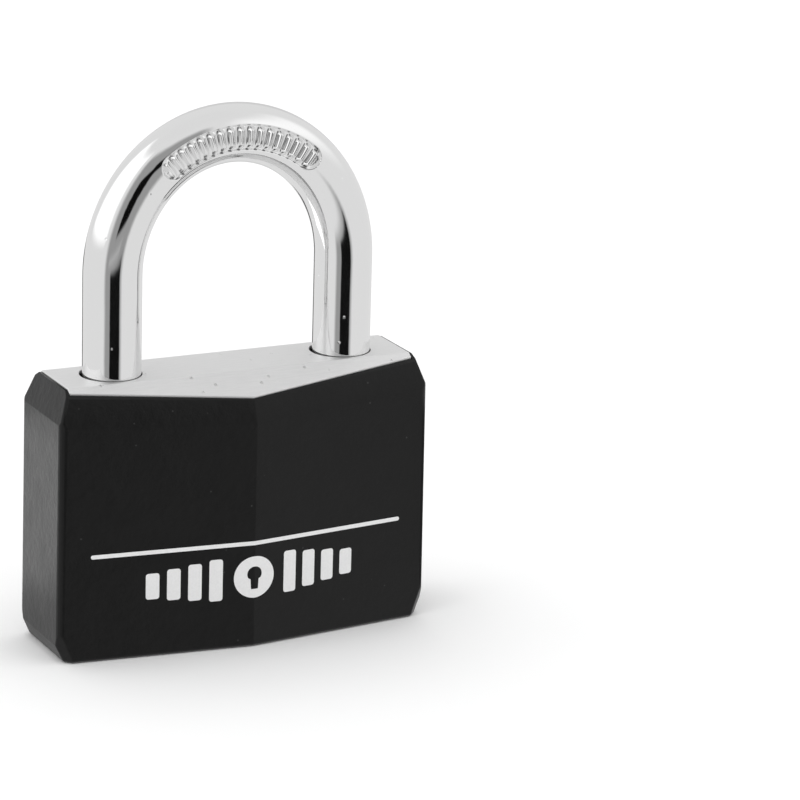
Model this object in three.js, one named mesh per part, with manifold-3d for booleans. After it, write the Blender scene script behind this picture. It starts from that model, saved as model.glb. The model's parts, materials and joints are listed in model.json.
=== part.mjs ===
// A covered key padlock: an aluminium body in a plastic cover, with a round steel shackle.
// Millimetres, +Z up. The origin is the middle of the cover's underside and the front faces -Y.
// The shackle's long leg (the heel) is at -X and its short leg (the toe) at +X.
// The solids stand as they do with the shackle pushed home and the plug turned to its open angle,
// so the two levers are drawn back and the shackle is free to lift.

import * as THREE from 'three';
import { mergeVertices } from 'three/addons/utils/BufferGeometryUtils.js';
import Module from 'manifold-3d';

const wasm = await Module();
wasm.setup();

// ---- driving dimensions ----

const SHACKLE = {
	radius: 3.175,
	legX: 13.5, // from the middle of the padlock to the middle of each leg
	archZ: 40.685, // where the straight legs end
	archRise: 14.56, // from there to the middle of the bar at the top
	heelZ: 10.5,
	toeZ: 20.0,
	tipBevel: 0.6,
};

const CORE = {
	halfWidth: 20.0,
	endDepth: 4.3, // half the depth at the ends
	ridgeDepth: 6.9, // half the depth at the middle ridge
	bottom: 1.4,
	top: 30.0,
	flatDepth: 3.75, // half the depth of the level strip on top
	topSlope: Math.tan(THREE.MathUtils.degToRad(33.5)), // fall of the facets beside it
	plugRoom: 0.6, // how much deeper the plug's bore is than the plug
	camRoom: 0.3, // from the cam's disc to its bore
};

const COVER = {
	halfWidth: 21.45, // at the rim
	flare: 0.3, // how much farther out each end stands at the base
	endDepth: 5.66,
	ridgeDepth: 8.0,
	rim: 0.15, // how far the body stands above the rim
	floor: 1.2,
	gap: 0.12,
	holeRadius: 6.0,
	cornerBevel: 0.65,
	cornerFoot: { inset: 0.6, height: 1.8 },
	endTopBevel: { width: 1.15, height: 3.3 },
	endBottomBevel: { width: 0.9, height: 2.0 },
	facetBevel: { inset: 0.9, ridgeTop: 27.75, ridgeBottom: 25.1, endBottom: 26.3 },
};

const PLUG = {
	radius: 5.0,
	bottom: 0.5,
	top: 17.7,
	clearance: 0.15,
	edgeBevel: 0.3,
	openTurn: Math.PI / 2, // from the locked angle to the open one
	groove: { radius: 4.3, z: 3.3, height: 1.4 },
};

const KEYWAY = { halfWidth: 1.1, back: -4.0, front: 3.6, top: 16.8 };

const PINS = {
	radius: 1.15,
	holeRadius: 1.3,
	heights: [5.2, 8.3, 11.4, 14.5],
	keyLengths: [3.2, 2.6, 3.6, 2.9],
	keyEnd: 4.9, // distance of each key pin's outer end from the plug's axis
	point: { radius: 0.35, height: 0.65 }, // the key pins' worn tips
	driverStart: 5.25,
	driverLength: 2.9,
	springEnd: 14.7,
	stopperStart: 14.9,
};

const CAM = {
	discRadius: 2.6,
	discBottom: 18.0,
	discTop: 22.2,
	pinRadius: 0.6,
	pinTop: 26.5,
	throw: Math.SQRT2, // distance of each cam pin from the plug's axis
	lockedAngle: Math.PI / 4,
};

const LEVER = {
	z: 24.3, // height of the cross bore's axis
	radius: 3.0,
	underside: 22.6,
	tip: 11.8, // reach of the nose at the locked angle
	shoulder: 7.5, // where the nose becomes the arm
	armEnd: -2.0,
	armGap: 0.25, // from the middle plane to the arm's inner side
	slotX: 1.0,
	slotWidth: 1.7,
	slotDepth: 2.3,
	travel: 2.0,
};

const CROSS_BORE_RADIUS = 3.2;
const LEG_BORE_RADIUS = 3.3;
const HEEL_BORE_FLOOR = 3.0;
const TOE_BORE_FLOOR = 19.6;

const CROSS_PLUG = { radius: 3.0, start: 17.2, end: 19.85, bevel: 0.3 };

// The pin that keeps the heel in its bore runs in a flat, and in a ring groove once it is lifted.
const HEEL_PIN = { radius: 0.75, hole: 0.9, x: -16.3, z: 24.0, halfLength: 4.5 };
const HEEL_CUT = { flatX: -15.275, top: 25.0, grooveZ: 13.5, grooveHeight: 1.9, grooveRadius: 1.8 };
const NOTCH = { x: 12.1, bottom: 22.3, top: 28.4, slope: 0.9 };

const PLUG_PIN = { radius: 0.6, hole: 0.75, x: -5.05, z: PLUG.groove.z, halfLength: 5.9 };

const EDGE_BEVEL = 0.15; // on the round pins
const END_PLAY = 0.1; // left at the end of a piece that fills its hole

const SHACKLE_SPRING = { radius: 2.3, wire: 0.35, turns: 6, seat: 3.1 };
const PIN_SPRING = { radius: 0.85, wire: 0.16, turns: 6 };
const LEVER_SPRING = { radius: 0.85, wire: 0.13, turns: 4, y: 1.45 };

// ---- materials ----

function metal(color, roughness) {
	return new THREE.MeshStandardMaterial({ color, roughness, metalness: 1.0 });
}

const makeAluminium = () => metal(0xc6c9cc, 0.42);
const makeChrome = () => metal(0xdddfe2, 0.12);
const makeBrass = () => metal(0xc9a356, 0.35);
const makeSteel = () => metal(0x9a9da1, 0.38);
const makePlastic = () => new THREE.MeshStandardMaterial({ color: 0x262627, roughness: 0.55, metalness: 0 });

// ---- helpers: solids in and out of manifold-3d ----

function solid(geometry) {
	const bare = geometry.clone();
	bare.deleteAttribute('normal');
	bare.deleteAttribute('uv');
	const merged = mergeVertices(bare);
	return new wasm.Manifold(new wasm.Mesh({
		numProp: 3,
		vertProperties: new Float32Array(merged.attributes.position.array),
		triVerts: new Uint32Array(merged.index.array),
	}));
}

function geometryOf(manifold) {
	const mesh = manifold.getMesh();
	const geometry = new THREE.BufferGeometry();
	geometry.setAttribute('position', new THREE.BufferAttribute(mesh.vertProperties, 3));
	geometry.setIndex(new THREE.BufferAttribute(mesh.triVerts, 1));
	geometry.computeVertexNormals();
	return geometry;
}

// ---- helpers: prisms, rods and coils ----

const X = new THREE.Vector3(1, 0, 0);
const Y = new THREE.Vector3(0, 1, 0);
const Z = new THREE.Vector3(0, 0, 1);

function extrude(outline, length) {
	const shape = new THREE.Shape(outline.map(([u, v]) => new THREE.Vector2(u, v)));
	return new THREE.ExtrudeGeometry(shape, { depth: length, bevelEnabled: false });
}

// an outline of x, y points, raised from z0 to z1
function prismZ(outline, z0, z1) {
	return extrude(outline, z1 - z0).translate(0, 0, z0);
}

// an outline of y, z points, from x0 to x1
function prismX(outline, x0, x1) {
	const turn = new THREE.Matrix4().makeBasis(Y, Z, X);
	return extrude(outline, x1 - x0).applyMatrix4(turn).translate(x0, 0, 0);
}

// an outline of x, z points, from y0 to y1
function prismY(outline, y0, y1) {
	const turn = new THREE.Matrix4().makeBasis(X, Z, Y.clone().negate());
	return extrude(outline, y1 - y0).applyMatrix4(turn).translate(0, y1, 0);
}

function block(x0, x1, y0, y1, z0, z1) {
	const box = new THREE.BoxGeometry(x1 - x0, y1 - y0, z1 - z0);
	return box.translate((x0 + x1) / 2, (y0 + y1) / 2, (z0 + z1) / 2);
}

function arc(radius, from, to, steps, centre = [0, 0]) {
	const points = [];
	for (let i = 0; i <= steps; i++) {
		const angle = from + (to - from) * i / steps;
		points.push([centre[0] + radius * Math.cos(angle), centre[1] + radius * Math.sin(angle)]);
	}
	return points;
}

function circle(radius, sides, centre = [0, 0]) {
	return arc(radius, 0, 2 * Math.PI, sides, centre).slice(0, sides);
}

function rodZ(radius, z0, z1, x = 0, y = 0, sides = 24) {
	return prismZ(circle(radius, sides, [x, y]), z0, z1);
}

function rodX(radius, x0, x1, y, z, sides = 16) {
	return prismX(circle(radius, sides, [y, z]), x0, x1);
}

function rodY(radius, y0, y1, x, z, sides = 16) {
	return prismY(circle(radius, sides, [x, z]), y0, y1);
}

// a turned piece along +Z: profile points are radius, height, and start and end on the axis
function turned(profile, segments) {
	const points = profile.map(([r, h]) => new THREE.Vector2(r, h));
	return new THREE.LatheGeometry(points, segments).rotateX(Math.PI / 2);
}

// a round tube along a curve
function tube(curve, radius, sides, steps) {
	const section = new THREE.Shape(circle(radius, sides).map(([u, v]) => new THREE.Vector2(u, v)));
	return new THREE.ExtrudeGeometry(section, { steps, extrudePath: curve, bevelEnabled: false });
}

class Helix extends THREE.Curve {

	constructor(radius, length, turns) {
		super();
		this.radius = radius;
		this.length = length;
		this.turns = turns;
	}

	getPoint(t, target = new THREE.Vector3()) {
		const angle = 2 * Math.PI * this.turns * t;
		return target.set(this.radius * Math.cos(angle), this.radius * Math.sin(angle), this.length * t);
	}

}

// a coil spring along +Z whose wire spans 0 to length
function coil({ radius, wire, turns }, length, stepsPerTurn = 12) {
	const helix = new Helix(radius, length - 2 * wire, turns);
	return tube(helix, wire, 6, turns * stepsPerTurn).translate(0, 0, wire);
}

// ---- the shackle ----

// The middle line of the bar: up the heel, over a half ellipse and down the toe.
class ShackleLine extends THREE.Curve {

	constructor() {
		super();
		this.heel = SHACKLE.archZ - SHACKLE.heelZ;
		this.toe = SHACKLE.archZ - SHACKLE.toeZ;
		this.arch = Math.PI * Math.sqrt((SHACKLE.legX ** 2 + SHACKLE.archRise ** 2) / 2);
	}

	getPoint(t, target = new THREE.Vector3()) {
		const along = t * (this.heel + this.arch + this.toe);
		if (along < this.heel) {
			return target.set(-SHACKLE.legX, 0, SHACKLE.heelZ + along);
		}
		const past = along - this.heel - this.arch;
		if (past > 0) {
			return target.set(SHACKLE.legX, 0, SHACKLE.archZ - past);
		}
		const angle = Math.PI * (along - this.heel) / this.arch;
		return target.set(
			-SHACKLE.legX * Math.cos(angle),
			0,
			SHACKLE.archZ + SHACKLE.archRise * Math.sin(angle),
		);
	}

}

// A leg's lock notch is cut across its inner side, with a sloping upper face; side is -1 or 1.
function notchCutter(side) {
	const clear = SHACKLE.legX - SHACKLE.radius - 1;
	return prismY([
		[side * clear, NOTCH.bottom],
		[side * NOTCH.x, NOTCH.bottom],
		[side * NOTCH.x, NOTCH.top - NOTCH.slope],
		[side * clear, NOTCH.top + NOTCH.slope / 2],
	], -5, 5);
}

// The sleeve that is turned off a leg's end to bevel it, with its wide end down at z.
function tipCutter(x, z) {
	const outside = SHACKLE.radius + 1;
	const ring = turned([
		[SHACKLE.radius - SHACKLE.tipBevel, -0.01],
		[outside, -0.01],
		[outside, SHACKLE.tipBevel],
		[SHACKLE.radius, SHACKLE.tipBevel],
		[SHACKLE.radius - SHACKLE.tipBevel, -0.01],
	], 24);
	return ring.translate(x, 0, z);
}

// The ring groove near the heel's end lets the lifted shackle swing round its pin.
function heelGrooveCutter() {
	const outside = SHACKLE.radius + 1;
	const low = HEEL_CUT.grooveZ - HEEL_CUT.grooveHeight / 2;
	const ring = turned([
		[HEEL_CUT.grooveRadius, 0],
		[outside, 0],
		[outside, HEEL_CUT.grooveHeight],
		[HEEL_CUT.grooveRadius, HEEL_CUT.grooveHeight],
		[HEEL_CUT.grooveRadius, 0],
	], 24);
	return ring.translate(-SHACKLE.legX, 0, low);
}

function makeShackle() {
	const outerX = -SHACKLE.legX - SHACKLE.radius - 1;
	const flat = block(outerX, HEEL_CUT.flatX, -5, 5, HEEL_CUT.grooveZ, HEEL_CUT.top);
	const bar = solid(tube(new ShackleLine(), SHACKLE.radius, 24, 62))
		.subtract(solid(heelGrooveCutter()))
		.subtract(solid(flat))
		.subtract(solid(notchCutter(-1)))
		.subtract(solid(notchCutter(1)))
		.subtract(solid(tipCutter(-SHACKLE.legX, SHACKLE.heelZ)))
		.subtract(solid(tipCutter(SHACKLE.legX, SHACKLE.toeZ)));
	return geometryOf(bar);
}

// ---- the body and its cover ----

// A six-sided plan with two ends, and facets that meet at a ridge in front and behind.
function hexagonPlan(halfWidth, endDepth, ridgeDepth) {
	return [
		[-halfWidth, -endDepth],
		[0, -ridgeDepth],
		[halfWidth, -endDepth],
		[halfWidth, endDepth],
		[0, ridgeDepth],
		[-halfWidth, endDepth],
	];
}

// A side view, y against z, with a level strip on top and facets that fall away in front and behind.
function roofProfile(top, flatDepth, bottom) {
	const reach = 12;
	const eaves = top - (reach - flatDepth) * CORE.topSlope;
	return [
		[-reach, bottom],
		[reach, bottom],
		[reach, eaves],
		[flatDepth, top],
		[-flatDepth, top],
		[-reach, eaves],
	];
}

function makeCore() {
	const plan = hexagonPlan(CORE.halfWidth, CORE.endDepth, CORE.ridgeDepth);
	const above = CORE.top + 2;
	const outside = CORE.halfWidth + 2;
	const cutters = [
		rodZ(LEG_BORE_RADIUS, HEEL_BORE_FLOOR, above, -SHACKLE.legX, 0, 32),
		rodZ(LEG_BORE_RADIUS, TOE_BORE_FLOOR, above, SHACKLE.legX, 0, 32),
		rodX(CROSS_BORE_RADIUS, -SHACKLE.legX, outside, 0, LEVER.z, 32),
		rodZ(PLUG.radius + PLUG.clearance, 0, PLUG.top + CORE.plugRoom, 0, 0, 48),
		rodZ(CAM.discRadius + CORE.camRoom, PLUG.top, LEVER.z),
		rodY(HEEL_PIN.hole, -10, 10, HEEL_PIN.x, HEEL_PIN.z),
		rodY(PLUG_PIN.hole, -10, 10, PLUG_PIN.x, PLUG_PIN.z),
		...PINS.heights.map((z) => rodX(PINS.holeRadius, 2, outside, 0, z)),
	];
	let body = solid(prismZ(plan, CORE.bottom, CORE.top))
		.intersect(solid(prismX(roofProfile(CORE.top, CORE.flatDepth, 0), -outside, outside)));
	for (const cutter of cutters) {
		body = body.subtract(solid(cutter));
	}
	return geometryOf(body);
}

// A block that covers everything beyond a plane, which passes through a point and faces a direction.
function beyond(point, facing) {
	const size = 80;
	const turn = new THREE.Quaternion().setFromUnitVectors(Z, new THREE.Vector3(...facing).normalize());
	return new THREE.BoxGeometry(size, size, size)
		.translate(0, 0, size / 2)
		.applyQuaternion(turn)
		.translate(...point);
}

// The two ends lean in from a flared base, are bevelled above and below, and the rim slopes with the body.
function coverEndCutters(side) {
	const { halfWidth, flare, endTopBevel: above, endBottomBevel: below } = COVER;
	const top = CORE.top - COVER.rim;
	const foot = halfWidth + flare;
	return [
		beyond([side * foot, 0, 0], [side * top, 0, flare]),
		beyond([side * (halfWidth - above.width), 0, top], [side * above.height, 0, above.width]),
		beyond([side * (foot - below.width), 0, 0], [side * below.height, 0, -below.width]),
		beyond([0, side * CORE.flatDepth, top], [0, side * CORE.topSlope, 1]),
	];
}

// One quarter of the cover has an upright facet, a steep bevel above it, and a corner with a cut foot.
function coverQuarterCutters(sideX, sideY) {
	const { halfWidth, endDepth, ridgeDepth, cornerBevel, cornerFoot, facetBevel, flare } = COVER;
	const top = CORE.top - COVER.rim;
	const corner = halfWidth + endDepth - cornerBevel;
	const rim = new THREE.Vector3(0, sideY * (ridgeDepth - facetBevel.inset), facetBevel.ridgeTop);
	const ridge = new THREE.Vector3(0, sideY * ridgeDepth, facetBevel.ridgeBottom);
	const end = new THREE.Vector3(sideX * halfWidth, sideY * endDepth, facetBevel.endBottom);
	const bevel = ridge.sub(rim).cross(end.sub(rim)).multiplyScalar(-sideX * sideY);
	return [
		beyond([0, sideY * ridgeDepth, 0], [sideX * (ridgeDepth - endDepth) / halfWidth, sideY, 0]),
		beyond(rim.toArray(), bevel.toArray()),
		beyond([sideX * corner, 0, top], [sideX * top, sideY * top, flare]),
		beyond(
			[sideX * (corner - cornerFoot.inset), 0, 0],
			[sideX * cornerFoot.height, sideY * cornerFoot.height, -cornerFoot.inset],
		),
	];
}

function makeCover() {
	const { halfWidth, flare, ridgeDepth, floor, gap, holeRadius } = COVER;
	const outside = halfWidth + flare;
	const cavity = hexagonPlan(CORE.halfWidth + gap, CORE.endDepth + gap, CORE.ridgeDepth + gap);
	const cutters = [
		...[-1, 1].flatMap(coverEndCutters),
		...[[-1, -1], [1, -1], [1, 1], [-1, 1]].flatMap(([x, y]) => coverQuarterCutters(x, y)),
		prismZ(cavity, floor, CORE.top + 1),
		rodZ(holeRadius, -1, floor + 1, 0, 0, 48),
	];
	let shell = solid(block(-outside, outside, -ridgeDepth, ridgeDepth, 0, CORE.top - COVER.rim));
	for (const cutter of cutters) {
		shell = shell.subtract(solid(cutter));
	}
	return geometryOf(shell);
}

// ---- the plug and what turns with it, drawn at the locked angle ----

// The keyway's outline, with a ward standing in from each side.
function keywayOutline() {
	const { halfWidth, back, front } = KEYWAY;
	const ward = 0.75;
	return [
		[back, -halfWidth],
		[-1.9, -halfWidth],
		[-1.4, -halfWidth + ward],
		[-0.5, -halfWidth + ward],
		[0, -halfWidth],
		[front, -halfWidth],
		[front, halfWidth],
		[2.2, halfWidth],
		[1.7, halfWidth - ward],
		[0.9, halfWidth - ward],
		[0.4, halfWidth],
		[back, halfWidth],
	];
}

function makePlug() {
	const { groove } = PLUG;
	const low = groove.z - groove.height / 2;
	const blank = turned([
		[0, PLUG.bottom],
		[PLUG.radius - PLUG.edgeBevel, PLUG.bottom],
		[PLUG.radius, PLUG.bottom + PLUG.edgeBevel],
		[PLUG.radius, low],
		[groove.radius, low],
		[groove.radius, low + groove.height],
		[PLUG.radius, low + groove.height],
		[PLUG.radius, PLUG.top],
		[0, PLUG.top],
	], 48);
	let plug = solid(blank).subtract(solid(prismZ(keywayOutline(), 0, KEYWAY.top)));
	for (const z of PINS.heights) {
		plug = plug.subtract(solid(rodX(PINS.holeRadius, 0.5, PLUG.radius + 1, 0, z)));
	}
	return geometryOf(plug);
}

// A disc on the plug's inner end, with two upright pins that run in the levers' slots.
function makeCam() {
	let cam = solid(rodZ(CAM.discRadius, CAM.discBottom, CAM.discTop));
	for (const angle of [CAM.lockedAngle, CAM.lockedAngle + Math.PI]) {
		const x = CAM.throw * Math.cos(angle);
		const y = CAM.throw * Math.sin(angle);
		cam = cam.add(solid(rodZ(CAM.pinRadius, CAM.discTop - 1, CAM.pinTop, x, y, 16)));
	}
	return geometryOf(cam);
}

// A key pin along +Z, with its pointed end at 0.
function makeKeyPin(length) {
	return turned([
		[0, 0],
		[PINS.point.radius, 0],
		[PINS.radius, PINS.point.height],
		[PINS.radius, length - EDGE_BEVEL],
		[PINS.radius - EDGE_BEVEL, length],
		[0, length],
	], 16);
}

// ---- levers, springs, pins and stoppers ----

// A half-round bar in the cross bore. Its nose locks the toe, and its arm is slotted for a cam pin.
// It is drawn at the locked angle, with its nose at +X and its arm at +Y.
function makeLever() {
	const { radius, z, underside, tip, shoulder, armEnd, armGap, slotX, slotWidth, slotDepth } = LEVER;
	const cutAngle = Math.asin((underside - z) / radius);
	const section = arc(radius, cutAngle, Math.PI - cutAngle, 20, [0, z]);
	const beside = block(armEnd - 1, shoulder, -radius - 1, armGap, z - 5, z + 5);
	const slot = block(slotX - slotWidth / 2, slotX + slotWidth / 2, 0, slotDepth, z - 5, z + 5);
	const lever = solid(prismX(section, armEnd, tip)).subtract(solid(beside)).subtract(solid(slot));
	return geometryOf(lever);
}

// A plain round pin along +Z with bevelled ends, centred on the origin.
function makeRoundPin(radius, length, bevel = EDGE_BEVEL) {
	const half = length / 2;
	return turned([
		[0, -half],
		[radius - bevel, -half],
		[radius, -half + bevel],
		[radius, half - bevel],
		[radius - bevel, half],
		[0, half],
	], 16);
}

// ---- assembly ----

const padlock = new THREE.Group();
padlock.name = 'padlock';

function place(parent, name, geometry, material, position = [0, 0, 0], rotation = [0, 0, 0]) {
	const mesh = new THREE.Mesh(geometry, material);
	mesh.name = name;
	mesh.position.set(...position);
	mesh.rotation.set(...rotation);
	parent.add(mesh);
}

const ALONG_X = [0, Math.PI / 2, 0];
const ALONG_Y = [-Math.PI / 2, 0, 0];

place(padlock, 'cover', makeCover(), makePlastic());
place(padlock, 'core', makeCore(), makeAluminium());
place(padlock, 'shackle', makeShackle(), makeChrome());

const heelRoom = SHACKLE.heelZ - END_PLAY - SHACKLE_SPRING.seat;
place(padlock, 'shackle_spring', coil(SHACKLE_SPRING, heelRoom), makeSteel(),
	[-SHACKLE.legX, 0, SHACKLE_SPRING.seat]);
place(padlock, 'shackle_retaining_pin', makeRoundPin(HEEL_PIN.radius, 2 * HEEL_PIN.halfLength),
	makeSteel(), [HEEL_PIN.x, 0, HEEL_PIN.z], ALONG_Y);
place(padlock, 'plug_retaining_pin', makeRoundPin(PLUG_PIN.radius, 2 * PLUG_PIN.halfLength),
	makeSteel(), [PLUG_PIN.x, 0, PLUG_PIN.z], ALONG_Y);

const crossPlugLength = CROSS_PLUG.end - CROSS_PLUG.start;
place(padlock, 'cross_hole_plug', makeRoundPin(CROSS_PLUG.radius, crossPlugLength, CROSS_PLUG.bevel),
	makeAluminium(), [(CROSS_PLUG.start + CROSS_PLUG.end) / 2, 0, LEVER.z], ALONG_X);

// The plug, the cam and the key pins stand turned from the locked angle to the open one.
const turning = new THREE.Group();
turning.rotation.z = PLUG.openTurn;
padlock.add(turning);
place(turning, 'plug', makePlug(), makeBrass());
place(turning, 'cam', makeCam(), makeSteel());

PINS.heights.forEach((z, i) => {
	const number = i + 1;
	const keyLength = PINS.keyLengths[i];
	const driverEnd = PINS.driverStart + PINS.driverLength;
	const springStart = driverEnd + END_PLAY;
	const stopperLength = CORE.halfWidth - END_PLAY - PINS.stopperStart;
	place(turning, `key_pin_${number}`, makeKeyPin(keyLength), makeBrass(),
		[PINS.keyEnd - keyLength, 0, z], ALONG_X);
	place(padlock, `driver_pin_${number}`, makeRoundPin(PINS.radius, PINS.driverLength), makeBrass(),
		[PINS.driverStart + PINS.driverLength / 2, 0, z], ALONG_X);
	place(padlock, `pin_spring_${number}`, coil(PIN_SPRING, PINS.springEnd - springStart, 10), makeSteel(),
		[springStart, 0, z], ALONG_X);
	place(padlock, `chamber_plug_${number}`, makeRoundPin(PINS.radius, stopperLength), makeBrass(),
		[PINS.stopperStart + stopperLength / 2, 0, z], ALONG_X);
});

// One lever for each leg, the second half a turn from the first, both drawn back by their travel.
// A spring beside each arm's end pushes against the other lever's shoulder.
for (const [leg, turn] of [['toe', 0], ['heel', Math.PI]]) {
	const side = new THREE.Group();
	side.rotation.z = turn;
	padlock.add(side);
	place(side, `${leg}_lever`, makeLever(), makeSteel(), [-LEVER.travel, 0, 0]);
	const otherArmEnd = -LEVER.armEnd + LEVER.travel;
	const springLength = LEVER.shoulder - LEVER.travel - otherArmEnd - END_PLAY;
	place(side, `${leg}_lever_spring`, coil(LEVER_SPRING, springLength, 10), makeSteel(),
		[otherArmEnd + END_PLAY / 2, -LEVER_SPRING.y, LEVER.z], ALONG_X);
}

export default padlock;
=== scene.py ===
"""The looks of a covered key padlock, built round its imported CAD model.

Meshes are drawn in millimetres and scaled to metres once, when they become pieces.
The front faces -Y; the shackle's long leg (the heel) is at -X.
"""
import json
import math

import bmesh
import bpy
import numpy as np
from mathutils import Matrix, Vector


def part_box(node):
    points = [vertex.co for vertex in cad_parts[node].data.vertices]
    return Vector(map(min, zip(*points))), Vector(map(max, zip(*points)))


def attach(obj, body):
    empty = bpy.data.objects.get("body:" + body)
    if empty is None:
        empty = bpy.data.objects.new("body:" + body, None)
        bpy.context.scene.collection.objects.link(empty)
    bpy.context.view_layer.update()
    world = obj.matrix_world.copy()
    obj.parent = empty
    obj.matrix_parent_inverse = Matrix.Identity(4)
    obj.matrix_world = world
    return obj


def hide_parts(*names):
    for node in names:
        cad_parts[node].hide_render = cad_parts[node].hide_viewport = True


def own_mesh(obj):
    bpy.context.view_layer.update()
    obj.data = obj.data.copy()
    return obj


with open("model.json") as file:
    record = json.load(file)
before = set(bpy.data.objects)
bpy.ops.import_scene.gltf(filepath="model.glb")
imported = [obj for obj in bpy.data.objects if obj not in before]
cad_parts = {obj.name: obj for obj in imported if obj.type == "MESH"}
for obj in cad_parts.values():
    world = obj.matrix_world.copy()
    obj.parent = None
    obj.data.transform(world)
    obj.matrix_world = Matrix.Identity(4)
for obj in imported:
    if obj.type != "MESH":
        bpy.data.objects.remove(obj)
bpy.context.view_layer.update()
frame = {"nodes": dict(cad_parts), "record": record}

MM = 0.001
WELD = 0.0001  # vertices closer than this, in millimetres, are one
NODES = frame["nodes"]


def box_mm(node):
    """A CAD node's lowest and highest corners, in millimetres."""
    low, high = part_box(node)
    return Vector(low) / MM, Vector(high) / MM


# ---- sizes, in millimetres ----

CORE_LOW, CORE_HIGH = box_mm("core")
COVER_HIGH = box_mm("cover")[1]
SHACKLE_LOW, SHACKLE_HIGH = box_mm("shackle")

BODY_TOP = CORE_HIGH.z
CORE_HALF_WIDTH = CORE_HIGH.x
CORE_RIDGE_DEPTH = CORE_HIGH.y
CORE_END_DEPTH = 4.3
FLAT_DEPTH = 3.75
ROOF_SLOPE = math.tan(math.radians(33.5))
CORE_ROUNDING = 0.1

COVER_HALF_WIDTH = 21.45
COVER_FLARE = 0.3
COVER_ROUNDING = 0.4
COVER_RIDGE_DEPTH = COVER_HIGH.y
COVER_END_DEPTH = 5.66
COVER_RIM = 0.15  # how far the body stands above the cover
COVER_TOP = BODY_TOP - COVER_RIM
COVER_FLOOR = 1.2
COVER_HOLE_RADIUS = 6.0
CAVITY_GAP = 0.09
CORNER_RADIUS = 0.95
CORNER_BEVEL = 0.65
CORNER_REACH = COVER_HALF_WIDTH + COVER_END_DEPTH - CORNER_BEVEL  # x + y on a corner
CORNER_FOOT = (0.6, 1.8)  # width and height, as in the two below
END_TOP_BEVEL = (1.15, 3.3)
END_BOTTOM_BEVEL = (0.9, 2.0)
FACET_BEVEL = {"inset": 0.9, "ridge_top": 27.75, "ridge_bottom": 25.1, "end_bottom": 26.3}
FACET_SLOPE = (COVER_RIDGE_DEPTH - COVER_END_DEPTH) / COVER_HALF_WIDTH

BAR_RADIUS = (SHACKLE_HIGH.y - SHACKLE_LOW.y) / 2
LEG_X = SHACKLE_HIGH.x - BAR_RADIUS
HEEL_Z = SHACKLE_LOW.z
TOE_Z = 20.0
ARCH_Z = 40.685
ARCH_RISE = SHACKLE_HIGH.z - BAR_RADIUS - ARCH_Z

LEG_BORE_RADIUS = 3.39
LEG_BORE_SHIFT = (-0.09, 0.05)
HEEL_BORE_FLOOR = 3.0
TOE_BORE_FLOOR = 19.6
LEVER_Z = 24.3
LEVER_BORE_RADIUS = 3.2
LEVER_BORE_END = 21
PLUG_BORE_RADIUS = 5.15
PLUG_BORE_TOP = 18.3
CAM_BORE_RADIUS = 2.9

# The steps of the legs' outline: the bevelled tips, the heel's ring groove and flat, the lock notches.
TIP_BEVEL = 0.6
GROOVE = {"bottom": 12.55, "top": 14.45, "radius": 1.8}
HEEL_FLAT = {"x": 15.275, "top": 25.0}
NOTCH = {"x": 12.1, "bottom": 22.3, "slope_start": 27.5, "top": 28.85, "slope": 1.4}


# ---- helpers: meshes and pieces ----

def mesh_from(name, vertices, faces):
    mesh = bpy.data.meshes.new(name)
    mesh.from_pydata([tuple(v) for v in vertices], [], [tuple(f) for f in faces])
    mesh.update()
    return mesh


def new_object(name, mesh):
    obj = bpy.data.objects.new(name, mesh)
    bpy.context.scene.collection.objects.link(obj)
    return obj


def object_from(name, bm):
    mesh = bpy.data.meshes.new(name)
    bmesh.ops.recalc_face_normals(bm, faces=bm.faces[:])
    bm.to_mesh(mesh)
    bm.free()
    return new_object(name, mesh)


def settle(obj):
    """Applies an object's modifiers to its mesh."""
    graph = bpy.context.evaluated_depsgraph_get()
    mesh = bpy.data.meshes.new_from_object(obj.evaluated_get(graph))
    obj.modifiers.clear()
    obj.data = mesh


def cut(obj, cutters):
    """Takes the cutters out of an object, removes them and welds the seams."""
    for cutter in cutters:
        modifier = obj.modifiers.new("cut", "BOOLEAN")
        modifier.object = cutter
        modifier.operation = "DIFFERENCE"
        modifier.solver = "EXACT"
    settle(obj)
    for cutter in cutters:
        bpy.data.objects.remove(cutter)
    bm = bmesh.new()
    bm.from_mesh(obj.data)
    bmesh.ops.remove_doubles(bm, verts=bm.verts[:], dist=WELD)
    bm.to_mesh(obj.data)
    bm.free()


def piece(obj, body, material, replaces=(), sharp=35, flats=False):
    """Scales a finished mesh to metres, shades it and puts it on its CAD body."""
    obj.data.transform(Matrix.Scale(MM, 4))
    for polygon in obj.data.polygons:
        polygon.use_smooth = True
    obj.data.set_sharp_from_angle(angle=math.radians(sharp))
    if flats:
        modifier = obj.modifiers.new("flats", "WEIGHTED_NORMAL")
        modifier.keep_sharp = True
        settle(obj)
    obj.data.materials.clear()
    obj.data.materials.append(material)
    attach(obj, body)
    if replaces:
        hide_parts(*replaces)
    return obj


def convex(planes, inset=0.0):
    """A block cut by planes, each a point and the direction that it faces, moved in by inset."""
    bm = bmesh.new()
    bmesh.ops.create_cube(bm, size=120)
    for point, normal in planes:
        normal = Vector(normal).normalized()
        bisect_and_cap(bm, Vector(point) - inset * normal, normal)
    return bm


def bisect_and_cap(bm, point, normal):
    everything = bm.verts[:] + bm.edges[:] + bm.faces[:]
    result = bmesh.ops.bisect_plane(
        bm, geom=everything, dist=1e-5, plane_co=point, plane_no=normal, clear_outer=True
    )
    rim = [e for e in result["geom_cut"] if isinstance(e, bmesh.types.BMEdge)]
    if rim:
        bmesh.ops.contextual_create(bm, geom=rim)


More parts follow.
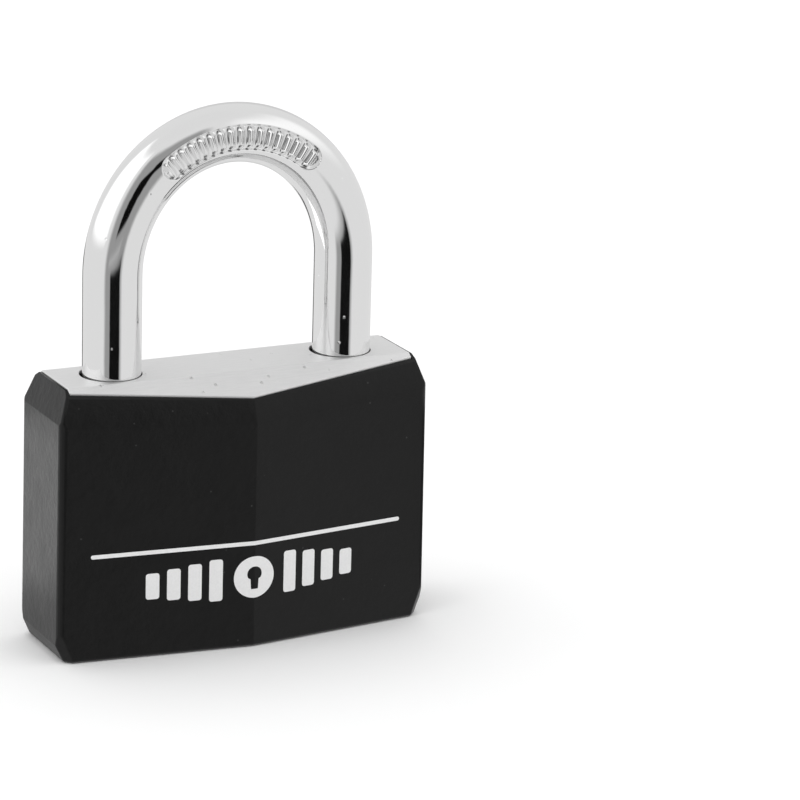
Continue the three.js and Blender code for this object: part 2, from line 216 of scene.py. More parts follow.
def rounded(planes, radius, steps=5):
    """The block that planes cut, with every edge and corner rounded to one radius."""
    core = convex(planes, inset=radius)
    hull = bmesh.new()
    for v in core.verts:
        normals = [f.normal for f in v.link_faces]
        ways = {tuple(n): n for n in normals}
        for first in normals:
            for second in normals:
                for k in range(1, steps):
                    n = first.lerp(second, k / steps).normalized()
                    ways[tuple(round(c, 5) for c in n)] = n
        for way in ways.values():
            hull.verts.new(v.co + radius * way)
    core.free()
    made = bmesh.ops.convex_hull(hull, input=hull.verts[:])
    bmesh.ops.delete(hull, geom=list(set(made["geom_interior"] + made["geom_unused"])), context="VERTS")
    bmesh.ops.dissolve_limit(hull, angle_limit=0.002, verts=hull.verts[:], edges=hull.edges[:])
    return hull


def four_ways(x, y):
    """A direction or place, repeated in front, behind, left and right."""
    return [(sx * x, sy * y) for sx in (-1, 1) for sy in (-1, 1)]


def end_planes(half_width):
    return [((s * half_width, 0, 0), (s, 0, 0)) for s in (-1, 1)]


def facet_planes(half_width, end_depth, ridge_depth):
    """The four upright facets, which meet in a ridge at the middle of the front and of the back."""
    slope = (ridge_depth - end_depth) / half_width
    return [((0, ny * ridge_depth, 0), (nx, ny, 0)) for nx, ny in four_ways(slope, 1)]


def roof_planes(top):
    """The level strip on top and the facets that fall away beside it."""
    planes = [((0, 0, top), (0, 0, 1))]
    for side in (-1, 1):
        planes.append(((0, side * FLAT_DEPTH, top), (0, side * ROOF_SLOPE, 1)))
    return planes


def lathe(name, profile, segments, centre=(0, 0, 0), axis="Z"):
    """A turned solid. The profile's points are radius and height, and start and end on the axis."""
    bm = bmesh.new()
    rings = []
    for radius, height in profile:
        if radius < 1e-6:
            rings.append([bm.verts.new((0, 0, height))])
            continue
        turn = [2 * math.pi * k / segments for k in range(segments)]
        rings.append([bm.verts.new((radius * math.cos(a), radius * math.sin(a), height)) for a in turn])
    for below, above in zip(rings, rings[1:]):
        for k in range(segments):
            n = (k + 1) % segments
            corners = [ring[i % len(ring)] for ring, i in ((below, k), (below, n), (above, n), (above, k))]
            bm.faces.new(list(dict.fromkeys(corners)))
    if axis == "X":
        bmesh.ops.rotate(bm, verts=bm.verts[:], matrix=Matrix.Rotation(math.pi / 2, 3, "Y"))
    bmesh.ops.translate(bm, verts=bm.verts[:], vec=centre)
    return object_from(name, bm)


# ---- materials ----

class Nodes:
    """A node tree, with short ways to add nodes to it."""

    def __init__(self, tree):
        self.tree = tree

    def node(self, kind, **settings):
        made = self.tree.nodes.new(kind)
        for key, value in settings.items():
            setattr(made, key, value)
        return made

    def link(self, source, target):
        self.tree.links.new(source, target)

    def math(self, operation, *values):
        made = self.node("ShaderNodeMath", operation=operation)
        for socket, value in zip(made.inputs, values):
            if isinstance(value, (int, float)):
                socket.default_value = value
            else:
                self.link(value, socket)
        return made.outputs[0]

    def remap(self, value, low, high, from_low=0.0, from_high=1.0, kind="LINEAR"):
        made = self.node("ShaderNodeMapRange", interpolation_type=kind)
        made.inputs["From Min"].default_value = from_low
        made.inputs["From Max"].default_value = from_high
        made.inputs["To Min"].default_value = low
        made.inputs["To Max"].default_value = high
        self.link(value, made.inputs["Value"])
        return made.outputs["Result"]


class Shader(Nodes):
    """A material with a Principled shader, and the textures that its surface needs."""

    def __init__(self, name, colour, roughness, metallic=0.0, specular=0.5):
        self.material = bpy.data.materials.new(name)
        self.material.use_nodes = True
        super().__init__(self.material.node_tree)
        self.shader = self.tree.nodes["Principled BSDF"]
        self.shader.inputs["Base Color"].default_value = (*colour, 1)
        self.shader.inputs["Roughness"].default_value = roughness
        self.shader.inputs["Metallic"].default_value = metallic
        self.shader.inputs["Specular IOR Level"].default_value = specular

    def place(self, scale=(1, 1, 1)):
        """Object coordinates in millimetres, stretched by scale."""
        coordinates = self.node("ShaderNodeTexCoord")
        mapping = self.node("ShaderNodeMapping")
        mapping.inputs["Scale"].default_value = [s / MM for s in scale]
        self.link(coordinates.outputs["Object"], mapping.inputs["Vector"])
        return mapping.outputs["Vector"]

    def noise(self, vector, scale, detail=3.0, roughness=0.5):
        made = self.node("ShaderNodeTexNoise")
        made.inputs["Scale"].default_value = scale
        made.inputs["Detail"].default_value = detail
        made.inputs["Roughness"].default_value = roughness
        self.link(vector, made.inputs["Vector"])
        return made.outputs["Fac"]

    def cells(self, vector, scale):
        """The distance to the nearest of many scattered points."""
        made = self.node("ShaderNodeTexVoronoi")
        made.inputs["Scale"].default_value = scale
        self.link(vector, made.inputs["Vector"])
        return made.outputs["Distance"]

    def blend_colours(self, value, first, second):
        """A mix of two colours, each a triple or an output."""
        made = self.node("ShaderNodeMix", data_type="RGBA")
        for colour, socket in ((first, made.inputs["A"]), (second, made.inputs["B"])):
            if isinstance(colour, tuple):
                socket.default_value = (*colour, 1)
            else:
                self.link(colour, socket)
        self.link(value, made.inputs["Factor"])
        return made.outputs["Result"]

    def bump(self, height, depth_mm, strength=1.0, after=None):
        made = self.node("ShaderNodeBump")
        made.inputs["Strength"].default_value = strength
        made.inputs["Distance"].default_value = depth_mm * MM
        self.link(height, made.inputs["Height"])
        if after is not None:
            self.link(after, made.inputs["Normal"])
        return made.outputs["Normal"]


def make_plastic():
    """Black nylon with a fine spark-eroded texture."""
    s = Shader("cover_nylon", (0.004, 0.004, 0.004), 0.36, specular=0.24)
    s.shader.inputs["Sheen Weight"].default_value = 0.08
    s.shader.inputs["Sheen Roughness"].default_value = 0.35
    place = s.place()
    grain = s.noise(place, 1.0, detail=6.0, roughness=0.65)
    patches = s.noise(place, 0.35, detail=3.0)
    colour = s.blend_colours(patches, (0.002, 0.002, 0.002), (0.0055, 0.0055, 0.0055))
    speck = s.remap(s.cells(place, 0.45), 1.0, 0.0, 0.03, 0.06)
    s.link(s.blend_colours(speck, colour, (0.03, 0.03, 0.03)), s.shader.inputs["Base Color"])
    s.link(s.remap(patches, 0.28, 0.44), s.shader.inputs["Roughness"])
    s.link(s.bump(grain, 0.09, strength=0.6), s.shader.inputs["Normal"])
    return s.material


def make_aluminium():
    """Satin aluminium: a faint grain along the bar it was cut from, a few dings, and painted shade that
    darkens the bores.
    """
    s = Shader("body_aluminium", (0.76, 0.76, 0.76), 0.5, metallic=0.85)
    place = s.place()
    grain = s.noise(s.place((0.25, 3.0, 3.0)), 2.0, detail=4.0)
    blasted = s.noise(place, 5.0, detail=3.0)
    finish = s.blend_colours(grain, (0.78, 0.78, 0.78), (0.88, 0.88, 0.88))
    # Painted shade: below the body's top the base colour fades to near black (0.05), standing in for the
    # shade inside the bores.
    painted_bore_shade = s.remap(depth_below_roof(s, place), 0.0, 1.0, 0.1, 0.4)
    s.link(s.blend_colours(painted_bore_shade, finish, (0.05, 0.05, 0.05)), s.shader.inputs["Base Color"])
    s.link(s.remap(blasted, 0.4, 0.58), s.shader.inputs["Roughness"])
    pit = s.remap(s.cells(place, 0.6), 0.0, 1.0, 0.02, 0.13, kind="SMOOTHSTEP")
    dented = s.bump(pit, 0.3, strength=0.8)
    s.link(s.bump(blasted, 0.01, strength=0.4, after=dented), s.shader.inputs["Normal"])
    return s.material


def depth_below_roof(s, place):
    """How far a point is below the body's top, in millimetres."""
    apart = s.node("ShaderNodeSeparateXYZ")
    s.link(place, apart.inputs[0])
    y, z = apart.outputs[1:]
    past_flat = s.math("MAXIMUM", s.math("SUBTRACT", s.math("ABSOLUTE", y), FLAT_DEPTH), 0.0)
    roof = s.math("SUBTRACT", BODY_TOP, s.math("MULTIPLY", past_flat, ROOF_SLOPE))
    return s.math("SUBTRACT", roof, z)


def make_chrome():
    """Polished chrome plate: the faint ripple of the drawn bar under it, and a few tiny pits."""
    s = Shader("shackle_chrome", (0.86, 0.86, 0.86), 0.06, metallic=1.0)
    ripple = s.noise(s.place((1, 1, 0.3)), 0.5, detail=3.0)
    smears = s.noise(s.place((1, 1, 0.4)), 0.8, detail=4.0)
    s.link(s.remap(smears, 0.03, 0.1), s.shader.inputs["Roughness"])
    pit = s.remap(s.cells(s.place(), 0.5), 0.0, 1.0, 0.02, 0.1, kind="SMOOTHSTEP")
    pitted = s.bump(pit, 0.05, strength=0.5)
    s.link(s.bump(ripple, 0.04, strength=0.35, after=pitted), s.shader.inputs["Normal"])
    return s.material


def make_brass():
    """Machined brass."""
    s = Shader("lock_brass", (0.7, 0.5, 0.2), 0.3, metallic=1.0)
    tooling = s.noise(s.place((1, 1, 6)), 1.5, detail=3.0)
    s.link(s.blend_colours(tooling, (0.62, 0.43, 0.16), (0.76, 0.56, 0.24)), s.shader.inputs["Base Color"])
    s.link(s.remap(tooling, 0.22, 0.4), s.shader.inputs["Roughness"])
    s.link(s.bump(tooling, 0.01, strength=0.4), s.shader.inputs["Normal"])
    return s.material


def make_steel():
    """Zinc-plated steel."""
    s = Shader("inner_steel", (0.5, 0.51, 0.53), 0.35, metallic=1.0)
    mottle = s.noise(s.place(), 1.2, detail=4.0)
    s.link(s.blend_colours(mottle, (0.42, 0.43, 0.45), (0.6, 0.61, 0.63)), s.shader.inputs["Base Color"])
    s.link(s.remap(mottle, 0.25, 0.45), s.shader.inputs["Roughness"])
    s.link(s.bump(mottle, 0.01, strength=0.3), s.shader.inputs["Normal"])
    return s.material


def make_ink():
    """White pad-printed ink."""
    s = Shader("white_ink", (0.88, 0.88, 0.88), 0.45)
    speckle = s.noise(s.place(), 4.0, detail=3.0)
    s.link(s.blend_colours(speckle, (0.82, 0.82, 0.82), (0.94, 0.94, 0.94)), s.shader.inputs["Base Color"])
    s.link(s.remap(speckle, 0.35, 0.6), s.shader.inputs["Roughness"])
    s.link(s.bump(speckle, 0.01, strength=0.3), s.shader.inputs["Normal"])
    return s.material


# ---- the cover ----

def facet_bevel_planes():
    """The steep bevels that run down from the cover's rim to its four facets."""
    planes = []
    for sx, sy in four_ways(1, 1):
        rim = Vector((0, sy * (COVER_RIDGE_DEPTH - FACET_BEVEL["inset"]), FACET_BEVEL["ridge_top"]))
        ridge = Vector((0, sy * COVER_RIDGE_DEPTH, FACET_BEVEL["ridge_bottom"]))
        end = Vector((sx * COVER_HALF_WIDTH, sy * COVER_END_DEPTH, FACET_BEVEL["end_bottom"]))
        normal = (ridge - rim).cross(end - rim).normalized()
        planes.append((rim, normal if normal.z > 0 else -normal))
    return planes


def corner_planes(steps=5):
    """Upright planes round each corner, between its facet and its end, which lean with the end."""
    facet_angle = math.atan(FACET_SLOPE)
    centre_x = COVER_HALF_WIDTH - CORNER_RADIUS
    facet_y = COVER_RIDGE_DEPTH - FACET_SLOPE * centre_x
    centre_y = facet_y - CORNER_RADIUS / math.cos(facet_angle)
    planes = []
    for k in range(1, steps):
        angle = facet_angle + (math.pi / 2 - facet_angle) * k / steps
        x, y = math.sin(angle), math.cos(angle)
        lean = x * COVER_FLARE / COVER_TOP
        for sx, sy in four_ways(1, 1):
            point = (sx * (centre_x + CORNER_RADIUS * x), sy * (centre_y + CORNER_RADIUS * y), COVER_TOP)
            planes.append((point, (sx * x, sy * y, lean)))
    return planes


def make_cover(material):
    planes = facet_planes(COVER_HALF_WIDTH, COVER_END_DEPTH, COVER_RIDGE_DEPTH)
    planes += facet_bevel_planes()
    planes.append(((0, 0, BODY_TOP + 3), (0, 0, 1)))  # the rim is cut below it, unrounded
    planes.append(((0, 0, 0), (0, 0, -1)))
    planes += corner_planes()
    foot_half_width = COVER_HALF_WIDTH + COVER_FLARE
    for side in (-1, 1):
        planes.append(((side * foot_half_width, 0, 0), (side * COVER_TOP, 0, COVER_FLARE)))
        width, height = END_TOP_BEVEL
        planes.append(((side * (COVER_HALF_WIDTH - width), 0, COVER_TOP), (side * height, 0, width)))
        width, height = END_BOTTOM_BEVEL
        planes.append(((side * (foot_half_width - width), 0, 0), (side * height, 0, -width)))
    inset, height = CORNER_FOOT
    for sx, sy in four_ways(1, 1):
        planes.append(((sx * (CORNER_REACH - inset), 0, 0), (sx * height, sy * height, -inset)))
    shell = rounded(planes, COVER_ROUNDING)
    for point, normal in roof_planes(COVER_TOP):
        bisect_and_cap(shell, point, normal)
    cover = object_from("cover_shell", shell)
    cavity_planes = facet_planes(CORE_HALF_WIDTH, CORE_END_DEPTH, CORE_RIDGE_DEPTH)
    cavity_planes += end_planes(CORE_HALF_WIDTH)
    cavity_planes.append(((0, 0, COVER_FLOOR + CAVITY_GAP), (0, 0, -1)))
    cavity = object_from("cavity", convex(cavity_planes, inset=-CAVITY_GAP))
    hole = lathe("hole", [(0, -2), (COVER_HOLE_RADIUS, -2), (COVER_HOLE_RADIUS, 3), (0, 3)], 96)
    cut(cover, [cavity, hole])
    return piece(cover, "lock_body", material, ["cover"], sharp=50, flats=True)


# ---- the body ----

def make_core(material):
    planes = facet_planes(CORE_HALF_WIDTH, CORE_END_DEPTH, CORE_RIDGE_DEPTH)
    planes += end_planes(CORE_HALF_WIDTH)
    planes += roof_planes(BODY_TOP)
    planes.append(((0, 0, CORE_LOW.z), (0, 0, -1)))
    core = object_from("body_core", rounded(planes, CORE_ROUNDING, steps=3))
    shift_x, shift_y = LEG_BORE_SHIFT
    plug_profile = [
        (0, 0), (PLUG_BORE_RADIUS, 0), (PLUG_BORE_RADIUS, PLUG_BORE_TOP),
        (CAM_BORE_RADIUS, PLUG_BORE_TOP), (CAM_BORE_RADIUS, LEVER_Z), (0, LEVER_Z),
    ]
    leg_top = BODY_TOP + 2
    heel_profile = bore_profile(LEG_BORE_RADIUS, HEEL_BORE_FLOOR, leg_top)
    toe_profile = bore_profile(LEG_BORE_RADIUS, TOE_BORE_FLOOR, leg_top)
    lever_profile = bore_profile(LEVER_BORE_RADIUS, -LEG_X, LEVER_BORE_END)
    cut(core, [
        lathe("heel_bore", heel_profile, 96, (-LEG_X + shift_x, shift_y, 0)),
        lathe("toe_bore", toe_profile, 96, (LEG_X + shift_x, shift_y, 0)),
        lathe("lever_bore", lever_profile, 64, (0, 0, LEVER_Z), "X"),
        lathe("plug_bore", plug_profile, 96),
    ])
    return piece(core, "lock_body", material, ["core"], sharp=50, flats=True)


def bore_profile(radius, start, end):
    return [(0, start), (radius, start), (radius, end), (0, end)]


# ---- the shackle ----

# The stamp's edge runs from a little inside its outline, where it is full depth, to just outside.
STAMP = {"half_length": 9.7, "half_height": 1.4, "floor": 0.55, "crown": 0.15, "edge": (-0.24, 0.06)}
STAMP_TURN = 0.77  # how far round the arch the stamp reaches to each side, with some room
STAMP_SECTOR = (math.radians(58), math.radians(122))  # where it is in the bar's section
ARCH_STEPS = (50, 290)  # on each side of the stamp, and along it
SECTION_STEPS = (60, 80)
RIB = {"raise": 0.5, "pitch": 1.1, "half_width": 0.5, "half_height": 1.25, "each_side": 8}
RIB_LEVEL = 0.55  # the share of a rib's half height that is level, before its ends fall away


def shackle_stations():
    """The bar's middle line as (place, outward direction, distance along the arch from its top)."""
    stations = []
    for z in leg_heights(HEEL_Z):
        stations.append((Vector((-LEG_X, 0, z)), Vector((-1, 0, 0)), None))
    along = 0.0
    arch = []
    low, high = math.pi / 2 - STAMP_TURN, math.pi / 2 + STAMP_TURN
    for t in finer_inside(0, math.pi, low, high, *ARCH_STEPS)[1:]:
        place = Vector((-LEG_X * math.cos(t), 0, ARCH_Z + ARCH_RISE * math.sin(t)))
        outward = Vector((-math.cos(t) * ARCH_RISE, 0, math.sin(t) * LEG_X)).normalized()
        if arch:
            along += (place - arch[-1][0]).length
        arch.append((place, outward, along))
    middle = arch[-1][2] / 2
    stations += [(place, outward, s - middle) for place, outward, s in arch]
    for z in reversed(leg_heights(TOE_Z)):
        stations.append((Vector((LEG_X, 0, z)), Vector((1, 0, 0)), None))
    return stations


def finer_inside(start, end, low, high, coarse, fine):
    """Steps from start up to end, with fine steps from low to high and coarse ones on either side."""
    before = np.linspace(start, low, coarse, endpoint=False)
    inside = np.linspace(low, high, fine, endpoint=False)
    after = np.linspace(high, end, coarse, endpoint=False)
    return np.concatenate([before, inside, after])


def leg_heights(tip):
    """Heights of the rings on one leg, with two close rings at each step of the leg's outline."""
    steps = [GROOVE["bottom"], GROOVE["top"], HEEL_FLAT["top"]]
    steps += [NOTCH["bottom"], NOTCH["slope_start"], NOTCH["top"]]
    close = 0.01
    heights = {round(tip + k, 3) for k in range(int(ARCH_Z - tip) + 1)}
    for z in steps:
        if z > tip:
            heights |= {z - close, z + close}
    heights.add(tip + TIP_BEVEL)
    return sorted(heights) + [ARCH_Z]


def smooth_step(x, low, high):
    t = np.clip((x - low) / (high - low), 0, 1)
    return t * t * (3 - 2 * t)


def stamped(front, out, along):
    """Presses the arch's front: a long round-ended recess, with a row of raised ribs in it."""
    reach = np.clip(abs(along) - (STAMP["half_length"] - STAMP["half_height"]), 0, None)
    outside = np.hypot(reach, out) - STAMP["half_height"]
    inside = 1 - smooth_step(outside, *STAMP["edge"])
    floor = BAR_RADIUS - STAMP["floor"] - STAMP["crown"] * (out / STAMP["half_height"]) ** 2
    nearest = RIB["pitch"] * np.clip(round(along / RIB["pitch"]), -RIB["each_side"], RIB["each_side"])
    beside = smooth_step(abs(along - nearest), 0.0, RIB["half_width"])
    beyond = smooth_step(abs(out), RIB_LEVEL * RIB["half_height"], RIB["half_height"])
    floor = floor + RIB["raise"] * (1 - beside) * (1 - beyond)
    pressed = np.where(front > floor, front + (floor - front) * inside, front)
    return np.where(front > 0, pressed, front)


def make_shackle(material):
    angles = finer_inside(-math.pi / 2, 1.5 * math.pi, *STAMP_SECTOR, *SECTION_STEPS)
    rings = []
    for place, outward, along in shackle_stations():
        out = BAR_RADIUS * np.cos(angles)
        front = BAR_RADIUS * np.sin(angles)
        if along is None:
            out, front = leg_section(out, front, place)
        elif abs(along) < STAMP["half_length"] + 1:
            front = stamped(front, out, along)
        ring = np.array(place)[None, :] + out[:, None] * np.array(outward)[None, :]
        ring[:, 1] -= front
        rings.append(ring)
    shackle = object_from("shackle_bar", tube_mesh(np.concatenate(rings), len(angles)))
    return piece(shackle, "shackle", material, ["shackle"], sharp=40)


def leg_section(out, front, place):
    """One leg's section: bevelled tips, lock notches, and on the heel a flat and a ring groove."""
    z = place.z
    is_heel = place.x < 0
    tip = HEEL_Z if is_heel else TOE_Z
    scale = 1.0
    if z < tip + TIP_BEVEL:
        scale = 1 - (tip + TIP_BEVEL - z) / BAR_RADIUS
    if is_heel and GROOVE["bottom"] < z < GROOVE["top"]:
        scale = GROOVE["radius"] / BAR_RADIUS
    out, front = out * scale, front * scale
    if is_heel and GROOVE["top"] < z < HEEL_FLAT["top"]:
        out = np.minimum(out, HEEL_FLAT["x"] - LEG_X)
    if NOTCH["bottom"] < z < NOTCH["top"]:
        past_slope = max(0.0, z - NOTCH["slope_start"])
        out = np.maximum(out, NOTCH["x"] - LEG_X - NOTCH["slope"] * past_slope)
    return out, front


# ---- the pin springs ----

PIN_COUNT = 4
PIN_SPRING_WIRE = 0.16
PIN_SPRING_TURNS = 6


def coil_rise(turn, turns, wire, length):
    """How far along its axis a spring's wire has come, with a closed turn at each end."""
    closed = 2.1 * wire
    open_pitch = (length - 2 * wire - 2 * closed) / (turns - 2)
    if turn < 1:
        return wire + closed * turn
    if turn > turns - 1:
        return length - wire - closed * (turns - turn)
    return wire + closed + open_pitch * (turn - 1)


def make_pin_spring(number, material, steps=32, sides=10):
    """A coil spring behind one driver pin, along +X, made at the length of its CAD node; it doesn't shorten
    when the pin is pushed out.
    """
    node = f"pin_spring_{number}"
    low, high = box_mm(node)
    middle = (low + high) / 2
    length = high.x - low.x
    coil_radius = (high.y - low.y) / 2 - PIN_SPRING_WIRE
    vertices = []
    for k in range(PIN_SPRING_TURNS * steps + 1):
        turn = k / steps
        angle = 2 * math.pi * turn
        outward = Vector((0, math.cos(angle), math.sin(angle)))
        along = low.x + coil_rise(turn, PIN_SPRING_TURNS, PIN_SPRING_WIRE, length)
        place = Vector((along, middle.y, middle.z)) + coil_radius * outward
        for n in range(sides):
            a = 2 * math.pi * n / sides
            across = math.cos(a) * outward + math.sin(a) * Vector((1, 0, 0))
            vertices.append(place + PIN_SPRING_WIRE * across)
    spring = object_from(node + "_coil", tube_mesh(vertices, sides))
    piece(spring, "lock_body", material, [node])
    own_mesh(spring)


def tube_mesh(vertices, sides):
    """Rings of vertices joined into a closed tube with flat ends."""
    count = len(vertices) // sides
    faces = []
    for k in range(count - 1):
        a, b = k * sides, (k + 1) * sides
        for i in range(sides):
            j = (i + 1) % sides
            faces.append((a + i, b + i, b + j, a + j))
    faces.append(tuple(range(sides)))
    last = (count - 1) * sides
    faces.append(tuple(last + i for i in reversed(range(sides))))
    bm = bmesh.new()
    bm.from_mesh(mesh_from("tube", vertices, faces))
    return bm


# ---- the print on the front ----

LINE_Z = 11.8
LINE_HALF_LENGTH = 18.2
LINE_THICKNESS = 0.45
INK = 0.02  # how far the print stands out, and how far it is sunk
EMBLEM = {"low": 5.6, "high": 10.3, "bars": 4}
BAR = {"start": 3.6, "pitch": 2.35, "width": 1.5, "shorten": 0.3, "radius": 0.3}
KEYHOLE = {"head": 0.85, "lift": 0.35, "flank": 0.68, "shoulder": -0.2, "foot": -1.35}


def wrap_on_front(name, outlines, material):
    """Flat outlines of x, z points, wrapped on the two front facets as a thin layer of ink."""
    bm = bmesh.new()
    for outline in outlines:
        bm.faces.new([bm.verts.new((x, 0, z)) for x, z in outline])
    bmesh.ops.remove_doubles(bm, verts=bm.verts[:], dist=WELD)
    bmesh.ops.bisect_plane(
        bm, geom=bm.verts[:] + bm.edges[:] + bm.faces[:], plane_co=(0, 0, 0), plane_no=(1, 0, 0), dist=1e-5
    )
    made = bmesh.ops.extrude_face_region(bm, geom=bm.faces[:])
    for v in made["geom"]:
        if isinstance(v, bmesh.types.BMVert):
            v.co.y = -2 * INK
    for v in bm.verts:
        v.co.y += INK - COVER_RIDGE_DEPTH + abs(v.co.x) * FACET_SLOPE
    ink = object_from(name, bm)
    return piece(ink, "lock_body", material)


def rounded_bar(x0, x1, z0, z1, radius, steps=6):
    """The outline of a bar with rounded corners."""
    left, right = x0 + radius, x1 - radius
    low, high = z0 + radius, z1 - radius
    points = []
    for quarter, (x, z) in enumerate(((right, high), (left, high), (left, low), (right, low))):
        for k in range(steps + 1):
            a = math.radians(90 * quarter + 90 * k / steps)
            points.append((x + radius * math.cos(a), z + radius * math.sin(a)))
    return points


def make_line(material):
    half = LINE_THICKNESS / 2
    low, high = LINE_Z - half, LINE_Z + half
    outline = rounded_bar(-LINE_HALF_LENGTH, LINE_HALF_LENGTH, low, high, radius=half * 0.98)
    return wrap_on_front("front_line", [outline], material)


def make_emblem(material):
    """A generic mark: a keyhole roundel between upright bars, which get shorter outwards."""
    low, high = EMBLEM["low"], EMBLEM["high"]
    outlines = []
    for k in range(EMBLEM["bars"]):
        start = BAR["start"] + BAR["pitch"] * k
        end = start + BAR["width"]
        shorter = BAR["shorten"] * k
        outlines.append(rounded_bar(start, end, low + shorter, high - shorter, BAR["radius"]))
        outlines.append([(-x, z) for x, z in reversed(outlines[-1])])
    outlines += roundel_with_keyhole((low + high) / 2, (high - low) / 2)
    return wrap_on_front("front_emblem", outlines, material)


def roundel_with_keyhole(z, radius, steps=48):
    """A disc with a keyhole in it, as a ring of quads from the keyhole's edge to the disc's."""
    def keyhole(a):
        x, up = math.cos(a), math.sin(a)
        if up > -0.6:
            return KEYHOLE["head"] * x, KEYHOLE["lift"] + KEYHOLE["head"] * up
        return KEYHOLE["flank"] * x, KEYHOLE["foot"] if up < -0.75 else KEYHOLE["shoulder"]

    quads = []
    for k in range(steps):
        a, b = (2 * math.pi * (k + n) / steps for n in (0, 1))
        inner = [keyhole(t) for t in (a, b)]
        outer = [(radius * math.cos(t), radius * math.sin(t)) for t in (a, b)]
        quads.append([(x, z + h) for x, h in (inner[0], outer[0], outer[1], inner[1])])
    return quads


# ---- camera, light and floor ----

CAMERA_PLACE = Vector((-164.883, -366.694, 144.671)) * MM
CAMERA_TURN = math.radians(-26.876)
CAMERA_RISE = math.radians(16.437)
CAMERA_ROLL = math.radians(1.676)
CAMERA_LENS = 174.27


def make_camera():
    back = Vector((
        math.sin(CAMERA_TURN) * math.cos(CAMERA_RISE),
        -math.cos(CAMERA_TURN) * math.cos(CAMERA_RISE),
        math.sin(CAMERA_RISE),
    ))
    level = Vector((math.cos(CAMERA_TURN), math.sin(CAMERA_TURN), 0))
    turn = Matrix((level, back.cross(level), back)).transposed().to_4x4()
    camera = bpy.data.objects.new("camera", bpy.data.cameras.new("camera"))
    camera.matrix_world = Matrix.Translation(CAMERA_PLACE) @ turn @ Matrix.Rotation(CAMERA_ROLL, 4, "Z")
    camera.data.lens = CAMERA_LENS
    camera.data.clip_start = 0.01
    camera.data.clip_end = 20
    bpy.context.scene.collection.objects.link(camera)
    bpy.context.scene.camera = camera


FLOOR_HALF_SIZE = 3.0  # metres
FLOOR_BELOW = 0.02 * MM  # keeps the floor clear of the cover's underside


def make_floor():
    size = FLOOR_HALF_SIZE
    corners = [(x, y, -FLOOR_BELOW) for x, y in ((-size, -size), (size, -size), (size, size), (-size, size))]
    mesh = mesh_from("floor", corners, [(0, 1, 2, 3)])
    floor = new_object("floor", mesh)
    s = Shader("floor_paper", (0.93, 0.93, 0.93), 0.9)
    mesh.materials.append(s.material)
    floor.visible_glossy = False


# The studio's walls have one brightness. These parts differ from it, each painted over the ones
# before it: azimuth from -Y towards +X, elevation, half width, half height and softness of the
# edge, in degrees, and brightness.
STUDIO_WALLS = 0.81
STUDIO_PARTS = {
    "ceiling": (0, 90, 400, 28, 10, 0.8),
    "wall behind": (153, -8, 24, 40, 18, 0.66),
    "doorway behind": (180, -22, 8, 14, 4, 0.05),
    "left softbox": (-103, 30, 43, 30, 9, 1.25),
    "right softbox": (62, 34, 46, 28, 26, 1.1),
    "dim end of the room": (-20, 12, 37, 45, 12, 0.34),
    "edge of the table": (-24, -7, 20, 4, 6, 0.5),
    "doorway": (-21, 14, 12, 15, 4, 0.004),
    "top of the doorway": (-2, 25, 18, 8, 4, 0.004),
    "gap under the table's edge": (-13, -17, 20, 7, 3, 0.006),
}


def make_studio():
    """A world that is bright where softboxes stand and dark behind the camera."""
    world = bpy.data.worlds.new("studio")
    bpy.context.scene.world = world
    world.use_nodes = True
    sky = Nodes(world.node_tree)
    direction = sky.node("ShaderNodeSeparateXYZ")
    sky.link(sky.node("ShaderNodeTexCoord").outputs["Generated"], direction.inputs[0])
    x, y, z = direction.outputs
    azimuth = sky.math("DEGREES", sky.math("ARCTAN2", x, sky.math("MULTIPLY", y, -1.0)))
    elevation = sky.math("DEGREES", sky.math("ARCSINE", z))

    def reach(angle, middle, half, soft):
        offset = sky.math("ABSOLUTE", sky.math("SUBTRACT", angle, middle))
        offset = sky.math("MINIMUM", offset, sky.math("SUBTRACT", 360.0, offset))
        return sky.math("MAXIMUM", sky.math("DIVIDE", sky.math("SUBTRACT", offset, half - soft), soft), 0.0)

    light = STUDIO_WALLS
    for middle, rise, half_width, half_height, soft, brightness in STUDIO_PARTS.values():
        across = sky.math("POWER", reach(azimuth, middle, half_width, soft), 2.0)
        upright = sky.math("POWER", reach(elevation, rise, half_height, soft), 2.0)
        edge = sky.math("SQRT", sky.math("ADD", across, upright))
        share = sky.remap(edge, 1.0, 0.0, kind="SMOOTHSTEP")
        gain = sky.math("MULTIPLY", share, sky.math("SUBTRACT", brightness, light))
        light = sky.math("ADD", light, gain)
    sky.link(light, sky.tree.nodes["Background"].inputs["Strength"])
    sky.tree.nodes["Background"].inputs["Color"].default_value = (1, 1, 1, 1)


FILL = {"watts": 13.0, "size": 2.5, "height": 1.5}


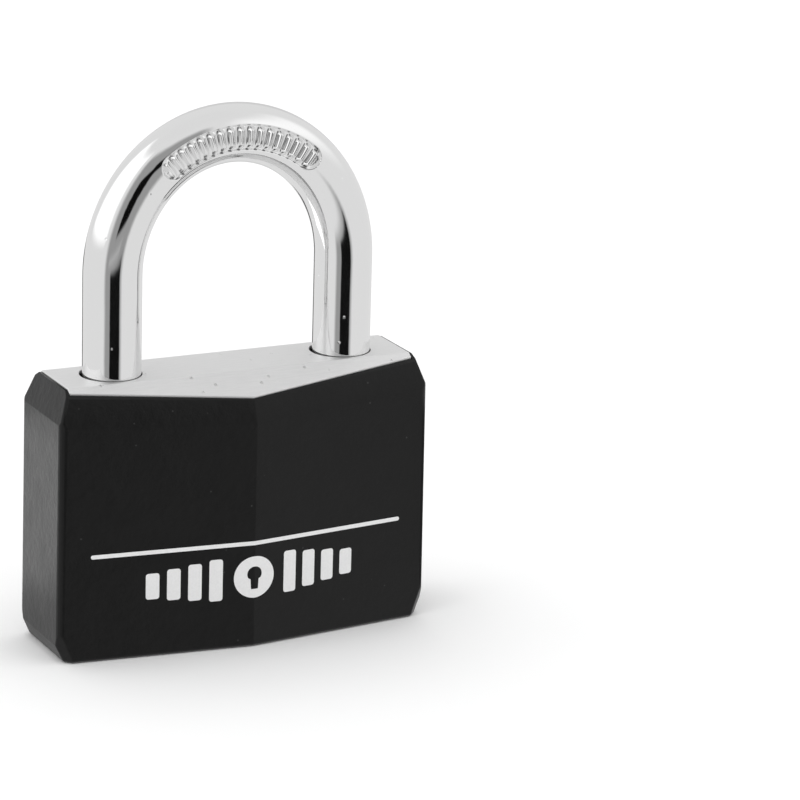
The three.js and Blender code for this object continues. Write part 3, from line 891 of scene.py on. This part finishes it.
def make_fill_light():
    """A broad lamp overhead that whitens the floor and leaves the metal's reflections alone."""
    lamp = bpy.data.lights.new("fill", "AREA")
    lamp.shape = "DISK"
    lamp.size = FILL["size"]
    lamp.energy = FILL["watts"]
    light = bpy.data.objects.new("fill", lamp)
    light.location = (0, 0, FILL["height"])
    light.visible_glossy = False
    bpy.context.scene.collection.objects.link(light)


# Cards that stand close by: the middle of the foot, the turn in degrees, width and height, all in
# millimetres, and brightness.
CARDS = {
    "white_card": ((-30.5, 18, 0), 27, 34, 20, 1.45),
    "black_card": ((29, 2, 0), 90, 24, 22, 0.1),
}


def make_card(name, place, turn, width, height, brightness):
    """An upright card beside the padlock that only reflections show."""
    turn = math.radians(turn)
    across = Vector((math.cos(turn), math.sin(turn), 0)) * width / 2
    left = Vector(place) - across
    right = Vector(place) + across
    up = Vector((0, 0, height))
    corners = [left, right, right + up, left + up]
    card = new_object(name, mesh_from(name, [c * MM for c in corners], [(0, 1, 2, 3)]))
    s = Shader(name, (0, 0, 0), 1.0, specular=0.0)
    s.shader.inputs["Emission Color"].default_value = (1, 1, 1, 1)
    s.shader.inputs["Emission Strength"].default_value = brightness
    card.data.materials.append(s.material)
    card.visible_camera = False
    card.visible_diffuse = False
    card.visible_shadow = False


# ---- assembly ----

bpy.context.scene.view_settings.view_transform = "Standard"
make_camera()
make_floor()
make_studio()
make_fill_light()
for name, card in CARDS.items():
    make_card(name, *card)

plastic = make_plastic()
aluminium = make_aluminium()
chrome = make_chrome()
brass = make_brass()
steel = make_steel()
ink = make_ink()

make_cover(plastic)
make_core(aluminium)
make_shackle(chrome)
make_line(ink)
make_emblem(ink)
for number in range(1, PIN_COUNT + 1):
    make_pin_spring(number, steel)

CAD_MATERIALS = {"lock_brass": brass, "inner_steel": steel, "body_aluminium": aluminium}
for row in frame["record"]["subparts"]:
    node = NODES[row["node"]]
    if row["material_slot"] in CAD_MATERIALS:
        node.data.materials.clear()
        node.data.materials.append(CAD_MATERIALS[row["material_slot"]])
